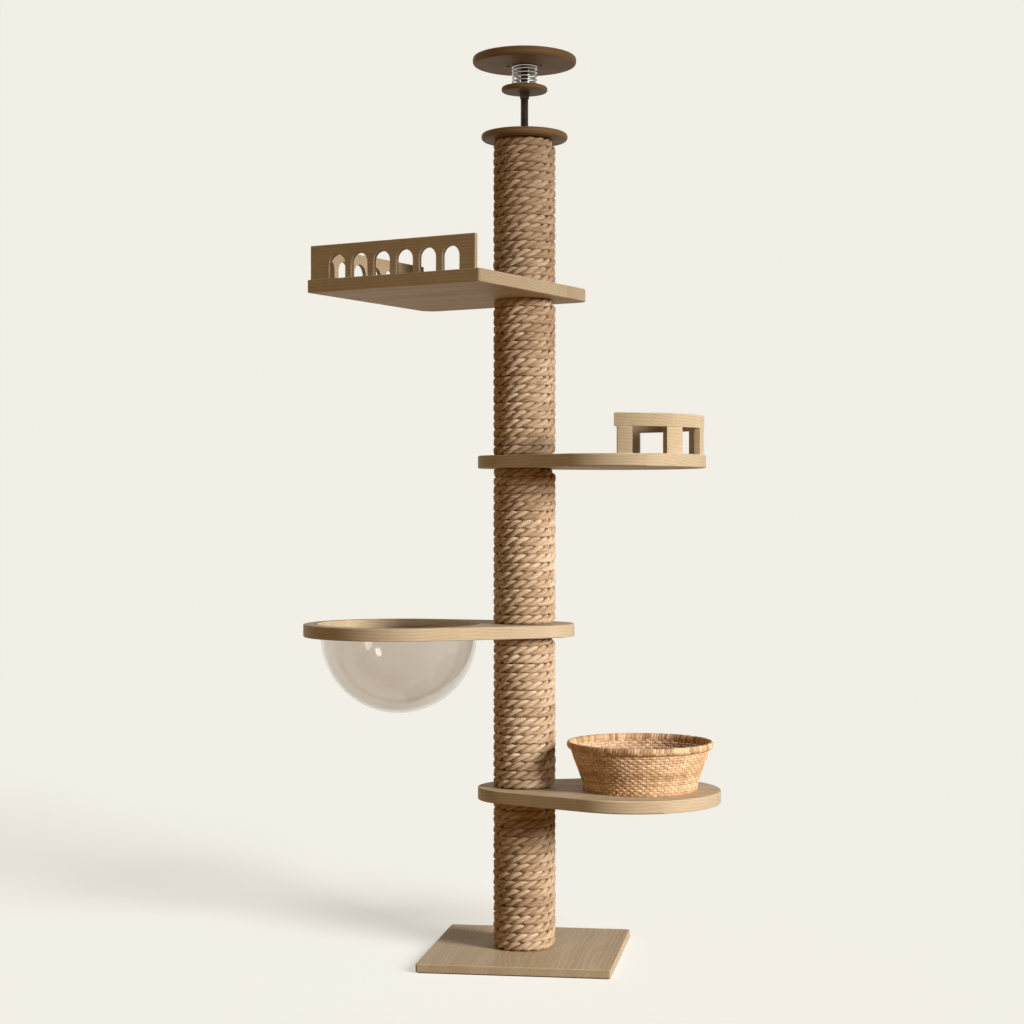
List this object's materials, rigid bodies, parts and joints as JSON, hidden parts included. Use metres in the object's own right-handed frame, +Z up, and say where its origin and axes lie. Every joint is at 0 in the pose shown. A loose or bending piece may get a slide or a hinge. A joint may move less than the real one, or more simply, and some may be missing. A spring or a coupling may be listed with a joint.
{
  "type": "cat tree",
  "caption": "Floor-to-ceiling cat tree: rope-wound pole with a square base, basket, clear bowl, railed shelf, fenced platform and a sprung screw to the ceiling.",
  "frame": {"origin": "on the pole's axis, on the floor under the anti-slip sheet", "axes": "+Z up the pole to the ceiling, -Y towards the front edge of the base board, +X to the right seen from the front"},
  "size_m": [1.0021, 0.6402, 2.171],
  "materials": {
    "oak": "satin oiled oak",
    "sisal": "matte three-strand twisted sisal rope",
    "wicker": "matte woven rattan",
    "acrylic": "clear, faintly smoky acrylic",
    "rubber": "matte",
    "tube_board": "matte",
    "plug_board": "matte",
    "black_steel": "dark bronze black oxide",
    "zinc_steel": "zinc plated",
    "spring_steel": "bright"
  },
  "bodies": {
    "pole": {"base_mat": "rubber", "base_board": "oak", "base_washer": "zinc_steel", "base_bolt": "zinc_steel", "pole_tube_1": "tube_board", "pole_tube_2": "tube_board", "pole_tube_3": "tube_board", "pole_tube_4": "tube_board", "pole_tube_5": "tube_board", "rope_wrap_1": "sisal", "rope_wrap_2": "sisal", "rope_wrap_3": "sisal", "rope_wrap_4": "sisal", "rope_wrap_5": "sisal", "tube_plugs_1": "plug_board", "tube_plugs_2": "plug_board", "tube_plugs_3": "plug_board", "tube_plugs_4": "plug_board", "tube_plugs_5": "plug_board", "plug_inserts": "zinc_steel", "shelf_stud_1": "zinc_steel", "shelf_stud_2": "zinc_steel", "shelf_stud_3": "zinc_steel", "shelf_stud_4": "zinc_steel", "top_cap": "oak", "cap_insert": "zinc_steel"},
    "basket_deck": {"basket_shelf": "oak", "basket": "wicker", "basket_screws": "zinc_steel"},
    "ring_arm": {"bowl_shelf": "oak"},
    "bowl": {"acrylic_bowl": "acrylic"},
    "rail_deck": {"rail_shelf": "oak", "guard_post_1": "oak", "guard_post_2": "oak", "guard_post_3": "oak", "guard_post_4": "oak", "guard_post_5": "oak", "guard_post_6": "oak", "guard_top_rail": "oak", "guard_screws": "zinc_steel"},
    "platform_deck": {"platform": "oak", "front_fence": "oak", "side_fence": "oak", "fence_screws": "zinc_steel"},
    "spring_head": {"spring_seat": "oak", "coil_spring": "spring_steel"},
    "tension_screw": {"tension_rod": "black_steel", "flared_nut": "black_steel"},
    "ceiling_foot": {"ceiling_plate": "oak", "ceiling_pad": "rubber", "guide_bolt": "black_steel", "plate_screws": "black_steel"}
  },
  "joints": [
    {"name": "basket_swivel", "type": "hinge", "parent": "pole", "child": "basket_deck", "pos_m": [0, 0, 0.393], "axis": [0, 0, 1], "continuous": true},
    {"name": "ring_swivel", "type": "hinge", "parent": "pole", "child": "ring_arm", "pos_m": [0, 0, 0.786], "axis": [0, 0, 1], "continuous": true},
    {"name": "bowl_lift", "type": "slide", "parent": "ring_arm", "child": "bowl", "axis": [0, 0, 1], "range_m": [0, 0.24]},
    {"name": "rail_swivel", "type": "hinge", "parent": "pole", "child": "rail_deck", "pos_m": [0, 0, 1.19], "axis": [0, 0, 1], "continuous": true},
    {"name": "platform_swivel", "type": "hinge", "parent": "pole", "child": "platform_deck", "pos_m": [0, 0, 1.596], "axis": [0, 0, 1], "continuous": true},
    {"name": "head_rise", "type": "slide", "parent": "pole", "child": "spring_head", "axis": [0, 0, 1], "range_m": [-0.075, 0.15]},
    {"name": "screw_turn", "type": "hinge", "parent": "spring_head", "child": "tension_screw", "pos_m": [0, 0, 2], "axis": [0, 0, 1], "range_deg": [-6795, 13545]},
    {"name": "foot_press", "type": "slide", "parent": "spring_head", "child": "ceiling_foot", "axis": [0, 0, 1], "range_m": [-0.012, 0], "stiffness_N_per_m": 8000, "springref_m": 0.01, "deforming": ["coil_spring"]}
  ],
  "couplings": [
    {"joint": "screw_turn", "follows": "head_rise", "rad_per_m": 1570.8}
  ]
}
